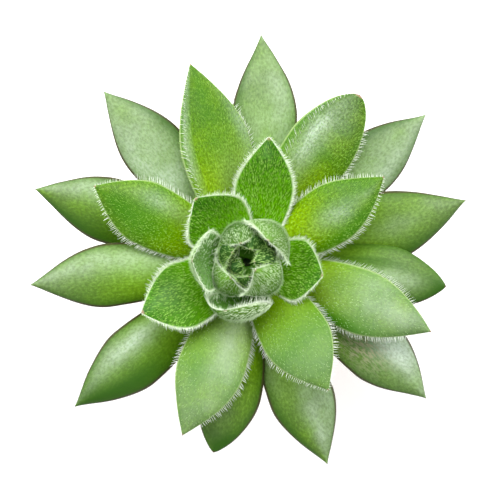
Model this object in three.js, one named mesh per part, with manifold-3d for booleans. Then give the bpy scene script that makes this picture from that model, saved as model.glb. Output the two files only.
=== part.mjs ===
// A spring beauty houseleek: one open rosette of fleshy leaves on a short stem, in a plain clay pot.
// Millimetres, +Z up. The origin is the centre of the pot's base, and +Y is the top of the plan view.
import * as THREE from "three";
import { mergeVertices } from "three/addons/utils/BufferGeometryUtils.js";
import Module from "manifold-3d";

// Driving dimensions
const gap = 0.3; // clear distance between pieces that touch
const potHeight = 46;
const potBaseRadius = 19.5;
const rimRadius = 28.5;
const rimHeight = 10;
const rimStep = 2.2; // how far the rim stands out from the tapered wall
const wall = 3.6;
const floorThickness = 4;
const drainRadius = 4;
const soilTop = 43;
const soilLumps = 0.6; // height of the soil's unevenness
const soilWave = 0.5; // how closely its lumps follow each other, in radians a millimetre
const soilRings = 6;
const axisX = -0.75; // the plant stands a little off the pot's axis
const axisY = -3;
const stemFoot = 28;
const stemFootRadius = 3.4;
const stemLow = 47; // where the oldest leaves grow
const stemLowRadius = 7.2;
const stemTop = 66; // where the youngest separate leaf grows
const stemTopRadius = 2.2;
const stemCollar = 42; // just under the soil, where the stem starts to widen
const stemCollarRadius = 4.2;
const growingTip = 1.8; // height of the rounded end above the youngest separate leaf
const leafPitch = 0.7; // how much higher each younger leaf grows
const rootSink = 0.6; // how far a leaf's root reaches into the stem before it is cut clear of it
const oldestRise = 3; // degrees above level for the oldest leaves
const youngestRise = 64; // added for the youngest, falling off with age
const riseFade = 7.5;
const leafSides = 10;
const leafRows = 14;
const rowCrowding = 0.35; // how much closer the rows stand towards a leaf's tip
const marginSharpness = 1.3; // how thin a leaf is drawn out at its margins
const shoulder = 1.8; // how full the blade stays before it narrows to the tip
const rootThinness = 0.25; // how much thinner a leaf is at its root than at the middle
const tipFullness = 2.4; // how far the thickness is kept towards the tip
const tipRounding = 0.7; // how bluntly it then ends
const heartAge = -3.4; // the heart's outermost leaf, on the scale of the separate leaves
const heartCoreLift = 2.3; // how far above the youngest separate leaf's root the heart starts
const heartCoreRadius = 2.4;
const heartCoreHeight = 4.3;
const ribStep = 0.001; // step along a midrib that gives its direction

const potFootChamfer = 0.8;
const potRimChamfer = 1.2;
const potInsideTaper = 1; // how far the inside narrows under the rim, and around its floor
const potInsideRound = 2;

// What the leaves of one tier share: thickness, root width as a share of the full width, how far the
// midrib hangs below its chord (or arches above it), how much the margins lift, how sharp the tip is, and
// how the blade swells
const tiers = {
  bud: { thick: 1.8, base: 0.5, belly: 6, cup: 0.7, point: 1.0, swell: 1.7 },
  inner: { thick: 3.2, base: 0.62, belly: 2.0, cup: 0.22, point: 1.05, swell: 1.5 },
  middle: { thick: 4.6, base: 0.58, belly: -0.8, cup: 0.0, point: 1.1, swell: 1.6 },
  outer: { thick: 4.8, base: 0.55, belly: -3.0, cup: 0.0, point: 1.2, swell: 1.7 },
};

// The leaves from the youngest to the oldest, each about 137.5 degrees clockwise of the one before it.
// turn is the compass of the leaf in plan, counter-clockwise from +X; reach is its tip's distance from the
// stem's axis; tip is the tip's height where it isn't ruled by age; broad says how far out the blade is
// widest; bow is how far the midrib swings to the left and back, lean how far the tip leans to the left;
// roll lifts the left margin.
const leaves = [
  { tier: "bud", turn: 224, reach: 5.2, tip: 76.5, width: 12.0, broad: 0.6, belly: 5.6 },
  { tier: "bud", turn: 108, reach: 4.7, tip: 78.0, width: 12.2, broad: 0.6, belly: 5.8 },
  { tier: "bud", turn: 318, reach: 2.4, tip: 79.0, width: 13.0, broad: 0.56, belly: 6.8 },
  { tier: "bud", turn: 178, reach: 13.2, tip: 79.0, width: 14.6, broad: 0.68, belly: 2.6, cup: 0.35 },
  { tier: "bud", turn: 46, reach: 7.2, tip: 80.0, width: 14.4, broad: 0.6, belly: 6.2, cup: 0.56 },
  {
    tier: "bud", turn: 270, reach: 11.5, tip: 77.0, width: 16.0, broad: 0.62, belly: 6.3,
    cup: 0.5, lean: -5.4,
  },
  { tier: "inner", turn: 129, reach: 20.0, width: 16.4, broad: 0.56, bow: -0.5 },
  { tier: "inner", turn: 350, reach: 18.8, width: 15.2, broad: 0.62, bow: 0.3 },
  { tier: "inner", turn: 205.5, reach: 28.4, width: 16.4, broad: 0.58, bow: 0.6 },
  { tier: "inner", turn: 80, reach: 30.9, width: 14.2, broad: 0.54, bow: -1.1 },
  { tier: "middle", turn: 302.5, reach: 36.9, width: 17.0, broad: 0.57, bow: 0.4, thick: 4.2 },
  { tier: "middle", turn: 153.4, reach: 41.6, width: 15.8, broad: 0.63, bow: 0.3 },
  { tier: "middle", turn: 32, reach: 39.5, width: 15.1, broad: 0.57, bow: -1.0 },
  { tier: "middle", turn: 249.5, reach: 45.2, width: 16.6, broad: 0.58, bow: 0.8 },
  { tier: "middle", turn: 106, reach: 50.6, width: 19.8, broad: 0.54, bow: -0.4, roll: 28, thick: 4.2 },
  { tier: "middle", turn: 339.3, reach: 48.4, width: 16.0, broad: 0.59, bow: 0.8 },
  { tier: "outer", turn: 186, reach: 53.6, width: 15.6, broad: 0.62, bow: -0.4 },
  {
    tier: "middle", turn: 56, reach: 50.0, width: 17.6, broad: 0.62, bow: 0.8,
    roll: 14, thick: 4.2, point: 0.62, hook: 3,
  },
  {
    tier: "outer", turn: 260, reach: 47.9, tip: 58.0, width: 16.2, broad: 0.64, belly: -1.2,
    bow: 1.3, point: 0.8,
  },
  { tier: "outer", turn: 130, reach: 55.2, width: 16.0, broad: 0.62, bow: -0.3 },
  {
    tier: "outer", turn: 353, reach: 49.8, tip: 57.0, width: 15.6, broad: 0.66, belly: -1.8, bow: 0.6,
    thick: 4.0, point: 0.85,
  },
  { tier: "outer", turn: 220, reach: 55.9, width: 16.0, broad: 0.62, bow: 0.2 },
  { tier: "outer", turn: 86.5, reach: 56.9, tip: 54.0, width: 16.4, broad: 0.6, belly: -2.0, bow: -2.2 },
  { tier: "outer", turn: 291.7, reach: 54.2, width: 16.2, broad: 0.64, bow: 0.3 },
  { tier: "outer", turn: 161, reach: 56.0, width: 16.3, broad: 0.62, bow: -1.1 },
  { tier: "outer", turn: 15.8, reach: 56.9, width: 18.0, broad: 0.57, bow: -1.1, roll: 5 },
  { tier: "outer", turn: 322.7, reach: 56.4, width: 16.0, broad: 0.66, bow: 2.1 },
  { tier: "outer", turn: 39.5, reach: 58.1, tip: 51.5, width: 16.0, broad: 0.62, bow: -0.5, roll: 9 },
];

// The closed heart inside the bud: three small hooded leaves that have not parted yet
const heartLeaves = [
  { tier: "bud", turn: 6, reach: 1.6, tip: 77.0, width: 9.0, broad: 0.6, belly: 4.9 },
  { tier: "bud", turn: 146, reach: 4.2, tip: 76.5, width: 9.5, broad: 0.6, belly: 4.1 },
  { tier: "bud", turn: 281, reach: 3.4, tip: 75.0, width: 8.0, broad: 0.6, belly: 3.1 },
];

const wasm = await Module();
wasm.setup();

function toSolid(geometry) {
  const bare = geometry.clone();
  bare.deleteAttribute("normal");
  bare.deleteAttribute("uv");
  const merged = mergeVertices(bare, 1e-4);
  return new wasm.Manifold(
    new wasm.Mesh({
      numProp: 3,
      vertProperties: merged.attributes.position.array,
      triVerts: new Uint32Array(merged.index.array),
    }),
  );
}

function toGeometry(solid) {
  const mesh = solid.getMesh();
  const geometry = new THREE.BufferGeometry();
  geometry.setAttribute("position", new THREE.BufferAttribute(mesh.vertProperties, 3));
  geometry.setIndex(new THREE.BufferAttribute(mesh.triVerts, 1));
  geometry.computeVertexNormals();
  return geometry;
}

// The largest body of a cut solid, without the loose scraps a cut can leave
function mainBody(solid) {
  const bodies = solid.decompose();
  return bodies.reduce((a, b) => (a.volume() > b.volume() ? a : b));
}

// A turned shape from a list of [radius, height]
function turned(outline, segments = 36) {
  const points = outline.map(([radius, height]) => new THREE.Vector2(radius, height));
  return new THREE.LatheGeometry(points, segments).rotateX(Math.PI / 2);
}

function stemRadiusAt(z) {
  return THREE.MathUtils.mapLinear(z, stemLow, stemTop, stemLowRadius, stemTopRadius);
}

// Pot: a tapered wall with a stepped rim and a drain hole
function potGeometry() {
  const underRim = potHeight - rimHeight;
  const wallTopRadius = rimRadius - rimStep;
  const inside = rimRadius - wall;
  return turned([
    [drainRadius, 0],
    [potBaseRadius - potFootChamfer, 0],
    [potBaseRadius, potFootChamfer],
    [wallTopRadius, underRim],
    [rimRadius - potRimChamfer / 2, underRim + potRimChamfer / 3],
    [rimRadius, underRim + potRimChamfer],
    [rimRadius, potHeight - potRimChamfer],
    [rimRadius - potRimChamfer, potHeight],
    [inside + potRimChamfer, potHeight],
    [inside, potHeight - potRimChamfer],
    [inside - potInsideTaper, underRim],
    [potBaseRadius - wall + potInsideTaper, floorThickness + potInsideRound],
    [potBaseRadius - wall - potInsideTaper, floorThickness],
    [drainRadius, floorThickness],
    [drainRadius, 0],
  ]);
}

// Soil: fills the pot to below its rim, with a lumpy top and a plain hole for the stem
function soilGeometry() {
  const underRim = potHeight - rimHeight;
  const inside = rimRadius - wall - gap;
  const bottom = floorThickness + gap;
  const edge = inside - gap;
  const top = Array.from({ length: soilRings + 1 }, (_, i) => [edge * (1 - i / soilRings), soilTop]);
  const geometry = turned([
    [0, bottom],
    [potBaseRadius - wall - potInsideTaper - gap, bottom],
    [potBaseRadius - wall + potInsideTaper - gap, bottom + potInsideRound],
    [inside - potInsideTaper, underRim],
    ...top,
  ]);
  const at = geometry.attributes.position;
  for (let i = 0; i < at.count; i++) {
    const x = at.getX(i);
    const y = at.getY(i);
    if (at.getZ(i) > soilTop - gap) {
      const broadLump = Math.sin(soilWave * x) * Math.cos(soilWave * y);
      const lump = broadLump + 0.5 * Math.sin(2 * soilWave * (y - x / 3));
      at.setZ(i, soilTop + soilLumps * lump);
    }
  }
  return geometry;
}

// Stem: thin in the soil, thick where the oldest leaves grow, and tapering to the bud
function stemGeometry(grow) {
  const profile = [
    [0, stemFoot - grow],
    [stemFootRadius + grow, stemFoot - grow],
    [stemCollarRadius + grow, stemCollar],
    [stemLowRadius + grow, stemLow],
    [stemTopRadius + grow, stemTop],
    [stemTopRadius / 2 + grow, stemTop + growingTip * 0.8 + grow],
    [0, stemTop + growingTip + grow],
  ];
  return turned(profile, 24).translate(axisX, axisY, 0);
}

// One leaf's own frame: where it grows, its chord, and its left and upper directions
function leafFrame(leaf, age) {
  const shape = { bow: 0, lean: 0, roll: 0, hook: 0, ...tiers[leaf.tier], ...leaf };
  const rootZ = stemTop - leafPitch * age;
  const rootReach = Math.max(1, stemRadiusAt(rootZ) - rootSink);
  const turn = THREE.MathUtils.degToRad(shape.turn);
  const out = new THREE.Vector3(Math.cos(turn), Math.sin(turn), 0);
  const rise = THREE.MathUtils.degToRad(oldestRise + youngestRise * Math.exp(-age / riseFade));
  const tipZ = shape.tip ?? rootZ + (shape.reach - rootReach) * Math.tan(rise);
  shape.root = new THREE.Vector3(axisX, axisY, rootZ).addScaledVector(out, rootReach);
  shape.chord = new THREE.Vector3(axisX, axisY, tipZ).addScaledVector(out, shape.reach).sub(shape.root);
  shape.side = new THREE.Vector3(-out.y, out.x, 0);
  shape.up = shape.chord.clone().normalize().cross(shape.side);
  return shape;
}

function midrib(shape, s) {
  const hump = 4 * s * (1 - s);
  return shape.root
    .clone()
    .addScaledVector(shape.chord, s)
    .addScaledVector(shape.up, shape.hook * s ** 5 - shape.belly * hump)
    .addScaledVector(shape.side, shape.bow * hump + shape.lean * s ** 2);
}

function halfWidth(shape, s) {
  const full = shape.width / 2;
  if (s < shape.broad) {
    const swelling = Math.sin((Math.PI / 2) * (s / shape.broad)) ** shape.swell;
    return full * (shape.base + (1 - shape.base) * swelling);
  }
  const past = (s - shape.broad) / (1 - shape.broad);
  return full * Math.max(0, 1 - past ** shoulder) ** shape.point;
}

function thicknessAt(shape, s) {
  const middle = 0.5;
  if (s < middle) return shape.thick * (1 - rootThinness * (1 - Math.sin(Math.PI * s)));
  const past = (s - middle) / (1 - middle);
  return shape.thick * Math.max(0, 1 - past ** tipFullness) ** tipRounding;
}

// A leaf is a sphere drawn out along its midrib, with its poles at the root and the tip. grow swells it,
// to cut older leaves clear of it.
function leafGeometry(leaf, age, grow = 0) {
  const shape = leafFrame(leaf, age);
  const geometry = new THREE.SphereGeometry(1, leafSides, leafRows);
  const at = geometry.attributes.position;
  for (let i = 0; i < at.count; i++) {
    const row = Math.floor(i / (leafSides + 1));
    const around = (2 * Math.PI * (i % (leafSides + 1))) / leafSides;
    const q = Math.max(0, row - 1) / (leafRows - 1);
    const s = q * (1 + rowCrowding * (1 - q));
    const ahead = midrib(shape, Math.min(1, s + ribStep));
    const along = ahead.sub(midrib(shape, Math.max(0, s - ribStep))).normalize();
    const side = shape.side.clone().addScaledVector(along, -along.dot(shape.side)).normalize();
    side.applyAxisAngle(along, THREE.MathUtils.degToRad(shape.roll));
    const normal = along.clone().cross(side);
    const pole = row === 0 || row === leafRows;
    const wide = pole ? 0 : halfWidth(shape, s) + grow;
    const deep = pole ? 0 : thicknessAt(shape, s) + 2 * grow;
    const lift = Math.sin(around);
    const height = (deep / 2) * Math.sign(lift) * Math.abs(lift) ** marginSharpness;
    const cupped = shape.cup * wide * Math.cos(around) ** 2;
    const spot = midrib(shape, s)
      .addScaledVector(side, -Math.cos(around) * wide)
      .addScaledVector(normal, height + cupped)
      .addScaledVector(along, row === 0 ? -grow : row === leafRows ? grow : 0);
    at.setXYZ(i, spot.x, spot.y, spot.z);
  }
  return geometry;
}

// Heart: the hooded leaves joined on the growing tip
function heartSolid(grow) {
  const low = stemTop + heartCoreLift;
  const tipCore = turned(
    [
      [0, low - grow],
      [(heartCoreRadius * 2) / 3 + grow, low - grow],
      [heartCoreRadius + grow, low + heartCoreHeight * 0.4],
      [(heartCoreRadius * 2) / 3 + grow, low + heartCoreHeight * 0.85 + grow],
      [0, low + heartCoreHeight + grow],
    ],
    16,
  ).translate(axisX, axisY, 0);
  return heartLeaves.reduce(
    (joined, leaf, i) => joined.add(toSolid(leafGeometry(leaf, heartAge - i, grow))),
    toSolid(tipCore),
  );
}

const finish = {
  clay: { color: 0xb5674a, roughness: 0.9, metalness: 0 },
  soil: { color: 0x3a2c22, roughness: 1, metalness: 0 },
  stem: { color: 0x8a8f58, roughness: 0.8, metalness: 0 },
  bud: { color: 0x8fb46a, roughness: 0.7, metalness: 0 },
  inner: { color: 0x5f9a24, roughness: 0.65, metalness: 0 },
  middle: { color: 0x7aad36, roughness: 0.6, metalness: 0 },
  outer: { color: 0x86b05c, roughness: 0.4, metalness: 0 },
};

const houseleek = new THREE.Group();

function addPiece(name, solid, look) {
  const mesh = new THREE.Mesh(toGeometry(solid), new THREE.MeshStandardMaterial(finish[look]));
  mesh.name = name;
  houseleek.add(mesh);
}

const stemCutter = toSolid(stemGeometry(gap));
addPiece("pot", toSolid(potGeometry()), "clay");
addPiece("soil", toSolid(soilGeometry()).subtract(stemCutter), "soil");
addPiece("stem", toSolid(stemGeometry(0)), "stem");

// Each leaf gives way to the stem, the heart and every younger leaf, because the younger lie over the older
const heartCutter = heartSolid(gap);
addPiece("heart", heartSolid(0), "bud");
const younger = [stemCutter, heartCutter];
leaves.forEach((leaf, age) => {
  const whole = toSolid(leafGeometry(leaf, age));
  const cut = younger.reduce((rest, other) => rest.subtract(other), whole);
  addPiece("leaf_" + String(age + 1).padStart(2, "0"), mainBody(cut), leaf.tier);
  younger.push(toSolid(leafGeometry(leaf, age, gap)));
});

export default houseleek;
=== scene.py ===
import math
import random

import bmesh
import bpy
from mathutils import Matrix, Vector, noise


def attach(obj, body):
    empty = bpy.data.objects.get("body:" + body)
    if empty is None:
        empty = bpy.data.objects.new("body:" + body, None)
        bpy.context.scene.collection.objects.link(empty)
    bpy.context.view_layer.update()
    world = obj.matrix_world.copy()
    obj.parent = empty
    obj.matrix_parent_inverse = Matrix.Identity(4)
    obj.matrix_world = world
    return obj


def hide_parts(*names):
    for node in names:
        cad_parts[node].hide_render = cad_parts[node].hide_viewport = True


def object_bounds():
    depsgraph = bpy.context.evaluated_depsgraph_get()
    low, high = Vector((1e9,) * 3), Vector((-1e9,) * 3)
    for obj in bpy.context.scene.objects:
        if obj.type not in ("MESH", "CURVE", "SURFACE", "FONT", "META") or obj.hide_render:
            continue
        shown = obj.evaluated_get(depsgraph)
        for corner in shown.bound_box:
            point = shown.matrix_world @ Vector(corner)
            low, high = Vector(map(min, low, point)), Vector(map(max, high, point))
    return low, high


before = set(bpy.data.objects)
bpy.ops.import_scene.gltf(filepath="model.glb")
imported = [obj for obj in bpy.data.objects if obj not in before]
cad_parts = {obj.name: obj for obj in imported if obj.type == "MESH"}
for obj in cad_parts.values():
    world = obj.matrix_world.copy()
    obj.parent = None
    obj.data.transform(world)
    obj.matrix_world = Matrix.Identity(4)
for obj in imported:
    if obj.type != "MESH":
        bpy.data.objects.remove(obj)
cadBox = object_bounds()
mm = 0.001
print("frame loaded")

# Camera: straight above the rosette, as the photograph looks down on it

cameraView = {
    "tipHeight": 58 * mm,  # height of the outer leaf tips, where the picture's scale holds
    "distance": 650 * mm,  # from the lens to that height
    "frameWidth": 123.8 * mm,  # what the picture takes in there
    "sensor": 36,
    "nearest": 10 * mm,
}


def makeCamera():
    lensData = bpy.data.cameras.new("plan_camera")
    lensData.sensor_width = cameraView["sensor"]
    lensData.lens = cameraView["sensor"] * cameraView["distance"] / cameraView["frameWidth"]
    lensData.clip_start = cameraView["nearest"]
    camera = bpy.data.objects.new("plan_camera", lensData)
    camera.location = (0, 0, cameraView["tipHeight"] + cameraView["distance"])
    bpy.context.scene.collection.objects.link(camera)
    bpy.context.scene.camera = camera


makeCamera()
print("camera placed")

# Leaf shapes, in millimetres, as the solids have them

plant = {
    "axis": (-0.75, -3.0),  # the stem stands a little off the pot's axis
    "stemLow": 47, "stemLowRadius": 7.2,
    "stemTop": 66, "stemTopRadius": 2.2,
    "pitch": 0.7,  # how much higher each younger leaf grows
    "rootSink": 0.6,  # how deep a leaf's root sits in the stem
    "oldestRise": 3, "extraRise": 64,  # degrees; the younger a leaf, the more of the extra it rises by
    "riseFade": 7.5,  # how many leaves it takes for the extra to fall to 37%
    "heartAge": -3.4,  # the heart leaves are younger than leaf 1
}

# base is the root's width as a share of the greatest, belly how far the midrib sags, cup how far the margins
# turn up, point how sharp the tip is and swell how late the blade widens.
tiers = {
    "bud": {"thick": 1.8, "base": 0.5, "belly": 6, "cup": 0.7, "point": 1.0, "swell": 1.7},
    "inner": {"thick": 3.2, "base": 0.62, "belly": 2.0, "cup": 0.22, "point": 1.05, "swell": 1.5},
    "middle": {"thick": 4.6, "base": 0.58, "belly": -0.8, "cup": 0.0, "point": 1.1, "swell": 1.6},
    "outer": {"thick": 4.8, "base": 0.55, "belly": -3.0, "cup": 0.0, "point": 1.2, "swell": 1.7},
}

leafDefaults = {
    "bow": 0, "lean": 0,  # bend the midrib sideways
    "hook": 0, "roll": 0,  # lift the tip, and turn the blade about its midrib
    "ridge": 1,  # below 1 the left fringe stands in from the margin
    "leftRim": 1,  # 0 leaves the left margin without the rim colour
    "milkySheen": 0,  # pale waxy bloom all over, with painted sheen
    "bloomAndSheen": [], "paintedShade": [], "scar": None,  # patches of waxy bloom with painted sheen, glare and light, patches of painted shade, and dry patches
    "nap": 1, "tone": 0,  # density and tint of the down
    "shag": 1, "inward": 0,  # length and slant of the fringe
}

# From the youngest leaf to the oldest. A patch is its place along and across the blade (+ is the left half),
# its reach along and across, and how strong it is.
leafList = [
    {"tier": "bud", "turn": 224, "reach": 5.2, "tip": 76.5, "width": 12.0, "broad": 0.6, "belly": 5.6},
    {"tier": "bud", "turn": 108, "reach": 4.7, "tip": 78.0, "width": 12.2, "broad": 0.6, "belly": 5.8,
     "paintedShade": [(0.7, 0.0, 0.5, 2.0, 0.55)]},
    {"tier": "bud", "turn": 318, "reach": 2.4, "tip": 79.0, "width": 13.0, "broad": 0.56, "belly": 6.8},
    {"tier": "bud", "turn": 178, "reach": 13.2, "tip": 79.0, "width": 14.6, "broad": 0.68, "belly": 2.6,
     "cup": 0.35, "milkySheen": 0.25},
    {"tier": "bud", "turn": 46, "reach": 7.2, "tip": 80.0, "width": 14.4, "broad": 0.6, "belly": 6.2,
     "cup": 0.56, "milkySheen": 0.4},
    {"tier": "bud", "turn": 270, "reach": 11.5, "tip": 77.0, "width": 16.0, "broad": 0.62, "belly": 6.3,
     "cup": 0.5, "lean": -5.4, "milkySheen": 0.1, "nap": 0.8, "inward": 1.8, "shag": 1.45},
    {"tier": "inner", "turn": 129, "reach": 20.0, "width": 16.4, "broad": 0.56, "bow": -0.5},
    {"tier": "inner", "turn": 350, "reach": 18.8, "width": 15.2, "broad": 0.62, "bow": 0.3},
    {"tier": "inner", "turn": 205.5, "reach": 28.4, "width": 16.4, "broad": 0.58, "bow": 0.6,
     "nap": 0.7, "bloomAndSheen": [(0.75, -0.2, 0.2, 0.5, 0.3)], "paintedShade": [(0.6, 0.0, 0.6, 2.0, 0.15)]},
    {"tier": "inner", "turn": 80, "reach": 30.9, "width": 14.2, "broad": 0.54, "bow": -1.1,
     "bloomAndSheen": [(0.9, 0.2, 0.1, 0.5, 0.25)], "paintedShade": [(0.6, 0.0, 0.6, 2.0, 0.1)]},
    {"tier": "middle", "turn": 302.5, "reach": 36.9, "width": 17.0, "broad": 0.57, "bow": 0.4, "thick": 4.2,
     "nap": 0.3, "tone": -0.3, "milkySheen": 0.34, "paintedShade": [(0.6, 0.0, 0.5, 1.5, 0.4)]},
    {"tier": "middle", "turn": 153.4, "reach": 41.6, "width": 15.8, "broad": 0.63, "bow": 0.3,
     "bloomAndSheen": [(0.58, -0.5, 0.2, 0.3, 0.75)],
     "paintedShade": [(0.68, 0.3, 0.35, 0.5, 0.7), (0.85, 0.0, 0.2, 1.0, 0.2)]},
    {"tier": "middle", "turn": 32, "reach": 39.5, "width": 15.1, "broad": 0.57, "bow": -1.0,
     "bloomAndSheen": [(0.66, -0.1, 0.17, 0.36, 1.05), (0.86, -0.25, 0.1, 0.3, 0.35)],
     "paintedShade": [(0.88, 0.3, 0.2, 0.7, 0.55), (0.58, -0.85, 0.35, 0.3, 0.8)]},
    {"tier": "middle", "turn": 249.5, "reach": 45.2, "width": 16.6, "broad": 0.58, "bow": 0.8,
     "nap": 0.3, "tone": -0.3, "milkySheen": 0.28,
     "bloomAndSheen": [(0.57, 0.2, 0.2, 0.5, 0.35), (0.3, 0.3, 0.2, 0.6, 0.95), (0.7, 0.6, 0.2, 0.3, 0.15)],
     "paintedShade": [(0.5, -0.5, 0.3, 0.4, 0.35)]},
    {"tier": "middle", "turn": 106, "reach": 50.6, "width": 19.8, "broad": 0.54, "bow": -0.4, "roll": 28,
     "thick": 4.2, "ridge": 0.88,
     "bloomAndSheen": [(0.65, 0.84, 0.4, 0.09, 1.0), (0.58, -0.9, 0.22, 0.25, 0.8), (0.33, -0.3, 0.2, 0.6, 0.35)],
     "paintedShade": [(0.75, 0.0, 0.25, 0.5, 0.45), (0.9, 0.0, 0.12, 1.0, 0.3), (0.7, 1.03, 0.5, 0.08, 0.8)]},
    {"tier": "middle", "turn": 339.3, "reach": 48.4, "width": 16.0, "broad": 0.59, "bow": 0.8,
     "nap": 0.3, "tone": -0.3, "milkySheen": 0.34,
     "bloomAndSheen": [(0.63, 0.15, 0.2, 0.6, 0.3), (0.85, 0.0, 0.16, 0.6, 0.3)],
     "paintedShade": [(0.4, -0.9, 0.35, 0.35, 1.0), (0.42, 0.3, 0.12, 0.5, 0.3)]},
    {"tier": "outer", "turn": 186, "reach": 53.6, "width": 15.6, "broad": 0.62, "bow": -0.4,
     "bloomAndSheen": [(0.68, -0.5, 0.25, 0.4, 0.8), (0.92, 0.0, 0.15, 0.9, 0.25), (0.4, -0.4, 0.14, 0.6, 0.5)],
     "paintedShade": [(0.7, 0.7, 0.3, 0.35, 0.3)]},
    {"tier": "middle", "turn": 56, "reach": 50.0, "width": 17.6, "broad": 0.62, "bow": 0.8, "roll": 14,
     "thick": 4.2, "point": 0.62, "hook": 3, "ridge": 0.8,
     "bloomAndSheen": [(0.62, 0.42, 0.22, 0.35, 1.0), (0.86, 0.0, 0.16, 0.6, 0.4), (0.8, 0.6, 0.2, 0.3, 0.5)],
     "paintedShade": [(0.5, 1.0, 0.4, 0.15, 0.6)]},
    {"tier": "outer", "turn": 260, "reach": 47.9, "tip": 58.0, "width": 16.2, "broad": 0.64, "belly": -1.2,
     "bow": 1.3, "point": 0.8, "bloomAndSheen": [(0.8, -0.2, 0.2, 0.5, 0.2)],
     "paintedShade": [(0.98, 0.0, 0.12, 1.2, 1.0), (0.9, 0.8, 0.2, 0.5, 0.5)]},
    {"tier": "outer", "turn": 130, "reach": 55.2, "width": 16.0, "broad": 0.62, "bow": -0.3, "milkySheen": 0.66,
     "bloomAndSheen": [(0.65, 0.6, 0.3, 0.35, 0.3), (0.4, 0.0, 0.16, 0.9, 0.9)],
     "paintedShade": [(0.65, -0.95, 0.35, 0.3, 0.7)]},
    {"tier": "outer", "turn": 353, "reach": 49.8, "tip": 57.0, "width": 15.6, "broad": 0.66, "belly": -1.8,
     "bow": 0.6, "thick": 4.0, "point": 0.85, "leftRim": 0,
     "milkySheen": 0.1, "bloomAndSheen": [(0.7, 0.0, 0.16, 0.4, 0.8)],
     "paintedShade": [(0.99, -0.1, 0.12, 1.2, 1.0), (0.85, -0.9, 0.2, 0.4, 0.5), (0.55, 0.45, 0.26, 0.22, 0.8)]},
    {"tier": "outer", "turn": 220, "reach": 55.9, "width": 16.0, "broad": 0.62, "bow": 0.2,
     "milkySheen": 0.05, "bloomAndSheen": [(0.56, -0.42, 0.3, 0.36, 1.15)],
     "paintedShade": [(0.7, 0.65, 0.3, 0.5, 1.0), (0.92, 0.0, 0.14, 1.0, 0.55)]},
    {"tier": "outer", "turn": 86.5, "reach": 56.9, "tip": 54.0, "width": 16.4, "broad": 0.6, "belly": -2.0,
     "bow": -2.2, "milkySheen": 0.4, "bloomAndSheen": [(0.45, 0.0, 0.15, 0.9, 0.5), (0.65, -0.5, 0.25, 0.35, 0.4)],
     "paintedShade": [(0.6, 0.95, 0.4, 0.25, 0.4)]},
    {"tier": "outer", "turn": 291.7, "reach": 54.2, "width": 16.2, "broad": 0.64, "bow": 0.3,
     "bloomAndSheen": [(0.76, 0.2, 0.24, 0.35, 1.0), (0.45, -0.8, 0.16, 0.5, 0.5), (0.88, 0.7, 0.14, 0.35, 0.4),
               (0.6, 0.8, 0.22, 0.3, 0.9)],
     "paintedShade": [(0.8, -0.9, 0.25, 0.35, 0.7)]},
    {"tier": "outer", "turn": 161, "reach": 56.0, "width": 16.3, "broad": 0.62, "bow": -1.1,
     "bloomAndSheen": [(0.77, -0.55, 0.25, 0.4, 0.8)],
     "paintedShade": [(0.65, 0.6, 0.3, 0.4, 0.5), (0.85, 0.95, 0.3, 0.3, 0.7)]},
    {"tier": "outer", "turn": 15.8, "reach": 56.9, "width": 18.0, "broad": 0.57, "bow": -1.1, "roll": 5,
     "milkySheen": 0.08, "bloomAndSheen": [(0.86, 0.4, 0.12, 0.5, 0.15), (0.62, 0.0, 0.14, 0.3, 0.3)],
     "paintedShade": [(0.5, -0.85, 0.35, 0.35, 0.9)]},
    {"tier": "outer", "turn": 322.7, "reach": 56.4, "width": 16.0, "broad": 0.66, "bow": 2.1,
     "milkySheen": 0.25, "scar": (0.58, -0.2, 0.13, 0.5),
     "bloomAndSheen": [(0.74, 0.35, 0.22, 0.5, 1.0), (0.5, 0.2, 0.2, 0.6, 0.4), (0.8, 0.9, 0.25, 0.3, 0.5)],
     "paintedShade": [(0.85, -0.6, 0.25, 0.4, 0.3)]},
    {"tier": "outer", "turn": 39.5, "reach": 58.1, "tip": 51.5, "width": 16.0, "broad": 0.62, "bow": -0.5,
     "roll": 9, "milkySheen": 0.62, "bloomAndSheen": [(0.65, -0.5, 0.3, 0.4, 0.4)],
     "paintedShade": [(0.75, 0.9, 0.35, 0.3, 0.7), (0.9, -0.9, 0.25, 0.3, 0.4)]},
]

heartList = [
    {"tier": "bud", "turn": 6, "reach": 1.6, "tip": 77.0, "width": 9.0, "broad": 0.6, "belly": 4.9},
    {"tier": "bud", "turn": 146, "reach": 4.2, "tip": 76.5, "width": 9.5, "broad": 0.6, "belly": 4.1},
    {"tier": "bud", "turn": 281, "reach": 3.4, "tip": 75.0, "width": 8.0, "broad": 0.6, "belly": 3.1},
    {"tier": "bud", "turn": 76, "reach": 3.2, "tip": 76.6, "width": 9.5, "broad": 0.6, "belly": 4.4},
    {"tier": "bud", "turn": 205, "reach": 1.2, "tip": 73.5, "width": 6.0, "broad": 0.6, "belly": 2.2},
]
# The heart leaves: fewer and greener hairs, and painted shade for the dark hollow in the bud's middle.
heartShade = {"nap": 0.7, "tone": 0.45, "paintedShade": [(0.7, 0.0, 0.6, 2.0, 1.0)]}

section = {
    "taper": 1.8,  # how late the blade narrows to its tip
    "rootThick": 0.75,  # of the thickness at half the length
    "thinLate": 2.4, "thinRound": 0.7,  # how late and how bluntly it thins out to the tip
    "flatness": 1.3,  # above 1 the margins are thinner than an oval's
}


def stemRadiusAt(z):
    share = (z - plant["stemLow"]) / (plant["stemTop"] - plant["stemLow"])
    return plant["stemLowRadius"] + share * (plant["stemTopRadius"] - plant["stemLowRadius"])


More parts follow.
